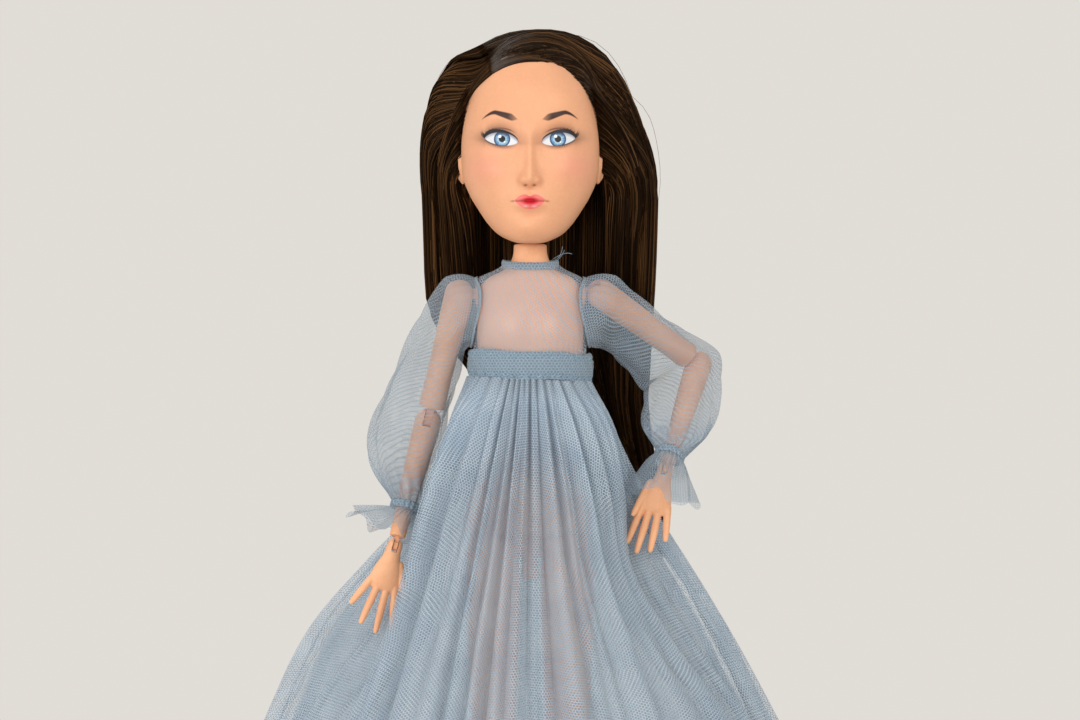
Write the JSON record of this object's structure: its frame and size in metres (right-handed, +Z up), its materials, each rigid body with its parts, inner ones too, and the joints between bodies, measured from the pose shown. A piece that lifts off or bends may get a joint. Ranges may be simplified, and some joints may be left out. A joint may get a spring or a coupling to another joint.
{
  "type": "art doll",
  "caption": "Articulated fashion doll with long parted hair, in a sheer floor-length gown with balloon sleeves; ball, peg and pin joints move head, arms and legs.",
  "frame": {"origin": "centre of the hem on the surface the doll stands on", "axes": "+Z up; the doll faces -Y; +X is the doll's left"},
  "size_m": [0.2311, 0.1962, 0.2702],
  "materials": {
    "vinyl_skin": "smooth vinyl with a matte painted face",
    "joint_plastic": "moulded",
    "steel": "plain",
    "hair_fibre": "straight synthetic fibre, soft shine",
    "tulle": "sheer hexagonal net",
    "gathered_tulle": "several layers of net, stitched"
  },
  "bodies": {
    "torso": {"torso_front": "vinyl_skin", "torso_back": "vinyl_skin", "bodice": "tulle", "neck_binding": "gathered_tulle", "armhole_binding_left": "gathered_tulle", "armhole_binding_right": "gathered_tulle", "waistband": "gathered_tulle", "back_snap": "steel", "skirt_outer": "tulle", "skirt_under": "tulle"},
    "neck": {"neck_post": "joint_plastic"},
    "head": {"head": "vinyl_skin", "hair_crown_left": "hair_fibre", "hair_crown_right": "hair_fibre", "hair_side_left": "hair_fibre", "hair_side_right": "hair_fibre", "hair_back": "hair_fibre"},
    "shoulder_left": {"shoulder_disc_left": "joint_plastic"},
    "upper_arm_left": {"upper_arm_left": "vinyl_skin", "sleeve_upper_left": "tulle"},
    "elbow_left": {"elbow_peg_left": "joint_plastic"},
    "forearm_left": {"forearm_left": "vinyl_skin", "elbow_pin_left": "steel", "sleeve_lower_left": "tulle", "cuff_band_left": "gathered_tulle", "cuff_ruffle_left": "tulle"},
    "wrist_left": {"wrist_peg_left": "joint_plastic"},
    "hand_left": {"hand_left": "vinyl_skin", "wrist_pin_left": "steel"},
    "hip_left": {"hip_piece_left": "joint_plastic"},
    "thigh_left": {"thigh_left": "vinyl_skin"},
    "shin_left": {"shin_left": "vinyl_skin", "knee_pin_left": "steel"},
    "shoulder_right": {"shoulder_disc_right": "joint_plastic"},
    "upper_arm_right": {"upper_arm_right": "vinyl_skin", "sleeve_upper_right": "tulle"},
    "elbow_right": {"elbow_peg_right": "joint_plastic"},
    "forearm_right": {"forearm_right": "vinyl_skin", "elbow_pin_right": "steel", "sleeve_lower_right": "tulle", "cuff_band_right": "gathered_tulle", "cuff_ruffle_right": "tulle"},
    "wrist_right": {"wrist_peg_right": "joint_plastic"},
    "hand_right": {"hand_right": "vinyl_skin", "wrist_pin_right": "steel"},
    "hip_right": {"hip_piece_right": "joint_plastic"},
    "thigh_right": {"thigh_right": "vinyl_skin"},
    "shin_right": {"shin_right": "vinyl_skin", "knee_pin_right": "steel"}
  },
  "joints": [
    {"name": "neck_turn", "type": "hinge", "parent": "torso", "child": "neck", "pos_m": [0, 0, 0.229], "axis": [0, 0, 1], "range_deg": [-80, 80], "deforming": ["hair_back", "hair_side_left", "hair_side_right"]},
    {"name": "head_nod", "type": "hinge", "parent": "neck", "child": "head", "pos_m": [0, 0, 0.229], "axis": [1, 0, 0], "range_deg": [-20, 8], "deforming": ["hair_back", "hair_side_left", "hair_side_right"]},
    {"name": "shoulder_swing_left", "type": "hinge", "parent": "torso", "child": "shoulder_left", "pos_m": [0.016, 0, 0.211], "axis": [1, 0, 0], "range_deg": [-120, 40], "deforming": ["sleeve_upper_left", "sleeve_lower_left", "skirt_outer", "skirt_under"]},
    {"name": "shoulder_raise_left", "type": "hinge", "parent": "shoulder_left", "child": "upper_arm_left", "pos_m": [0.016, 0, 0.211], "axis": [0, 0.8191, 0.5736], "range_deg": [-45, 13], "deforming": ["sleeve_upper_left"]},
    {"name": "elbow_turn_left", "type": "hinge", "parent": "upper_arm_left", "child": "elbow_left", "pos_m": [0.03881, 0.01117, 0.19504], "axis": [-0.7604, -0.3725, 0.532], "range_deg": [-50, 60], "deforming": ["sleeve_lower_left", "cuff_ruffle_left"]},
    {"name": "elbow_bend_left", "type": "hinge", "parent": "elbow_left", "child": "forearm_left", "pos_m": [0.03881, 0.01117, 0.19504], "axis": [0.5837, -0.7511, 0.3084], "range_deg": [-5, 92], "deforming": ["sleeve_lower_left"]},
    {"name": "wrist_turn_left", "type": "hinge", "parent": "forearm_left", "child": "wrist_left", "pos_m": [0.03033, -0.00507, 0.17154], "axis": [0.2847, 0.5451, 0.7886], "range_deg": [-80, 80], "deforming": ["cuff_ruffle_left"]},
    {"name": "wrist_bend_left", "type": "hinge", "parent": "wrist_left", "child": "hand_left", "pos_m": [0.03033, -0.00507, 0.17154], "axis": [0.9568, -0.1112, -0.2686], "range_deg": [-77, 13], "deforming": ["cuff_ruffle_left"]},
    {"name": "hip_swing_left", "type": "hinge", "parent": "torso", "child": "hip_left", "pos_m": [0.0084, 0, 0.153], "axis": [-1, 0, 0], "range_deg": [-24, 33], "deforming": ["skirt_outer", "skirt_under"]},
    {"name": "hip_spread_left", "type": "hinge", "parent": "hip_left", "child": "thigh_left", "pos_m": [0.0084, 0, 0.153], "axis": [0, -1, 0], "range_deg": [-1, 20], "deforming": ["skirt_outer", "skirt_under"]},
    {"name": "knee_bend_left", "type": "hinge", "parent": "thigh_left", "child": "shin_left", "pos_m": [0.0084, 0, 0.078], "axis": [1, 0, 0], "range_deg": [0, 60], "deforming": ["skirt_outer", "skirt_under"]},
    {"name": "shoulder_swing_right", "type": "hinge", "parent": "torso", "child": "shoulder_right", "pos_m": [-0.016, 0, 0.211], "axis": [1, 0, 0], "range_deg": [-120, 40], "deforming": ["sleeve_upper_right", "sleeve_lower_right", "skirt_outer", "skirt_under"]},
    {"name": "shoulder_raise_right", "type": "hinge", "parent": "shoulder_right", "child": "upper_arm_right", "pos_m": [-0.016, 0, 0.211], "axis": [0, 0.9945, 0.1045], "range_deg": [-2, 80], "deforming": ["sleeve_upper_right"]},
    {"name": "elbow_turn_right", "type": "hinge", "parent": "upper_arm_right", "child": "elbow_right", "pos_m": [-0.02326, 0.00304, 0.18205], "axis": [0.2419, -0.1014, 0.965], "range_deg": [-60, 45], "deforming": ["sleeve_lower_right", "cuff_ruffle_right"]},
    {"name": "elbow_bend_right", "type": "hinge", "parent": "elbow_right", "child": "forearm_right", "pos_m": [-0.02326, 0.00304, 0.18205], "axis": [0.9697, -0.0094, -0.2441], "range_deg": [-72, 26], "deforming": ["sleeve_lower_right"]},
    {"name": "wrist_turn_right", "type": "hinge", "parent": "forearm_right", "child": "wrist_right", "pos_m": [-0.03029, -0.00576, 0.15446], "axis": [0.2359, 0.2953, 0.9258], "range_deg": [-80, 80], "deforming": ["cuff_ruffle_right"]},
    {"name": "wrist_bend_right", "type": "hinge", "parent": "wrist_right", "child": "hand_right", "pos_m": [-0.03029, -0.00576, 0.15446], "axis": [0.944, 0.1566, -0.2905], "range_deg": [-60, 30], "deforming": ["cuff_ruffle_right"]},
    {"name": "hip_swing_right", "type": "hinge", "parent": "torso", "child": "hip_right", "pos_m": [-0.0084, 0, 0.153], "axis": [-1, 0, 0], "range_deg": [-24, 33], "deforming": ["skirt_outer", "skirt_under"]},
    {"name": "hip_spread_right", "type": "hinge", "parent": "hip_right", "child": "thigh_right", "pos_m": [-0.0084, 0, 0.153], "axis": [0, 1, 0], "range_deg": [-1, 20], "deforming": ["skirt_outer", "skirt_under"]},
    {"name": "knee_bend_right", "type": "hinge", "parent": "thigh_right", "child": "shin_right", "pos_m": [-0.0084, 0, 0.078], "axis": [1, 0, 0], "range_deg": [0, 60], "deforming": ["skirt_outer", "skirt_under"]}
  ]
}
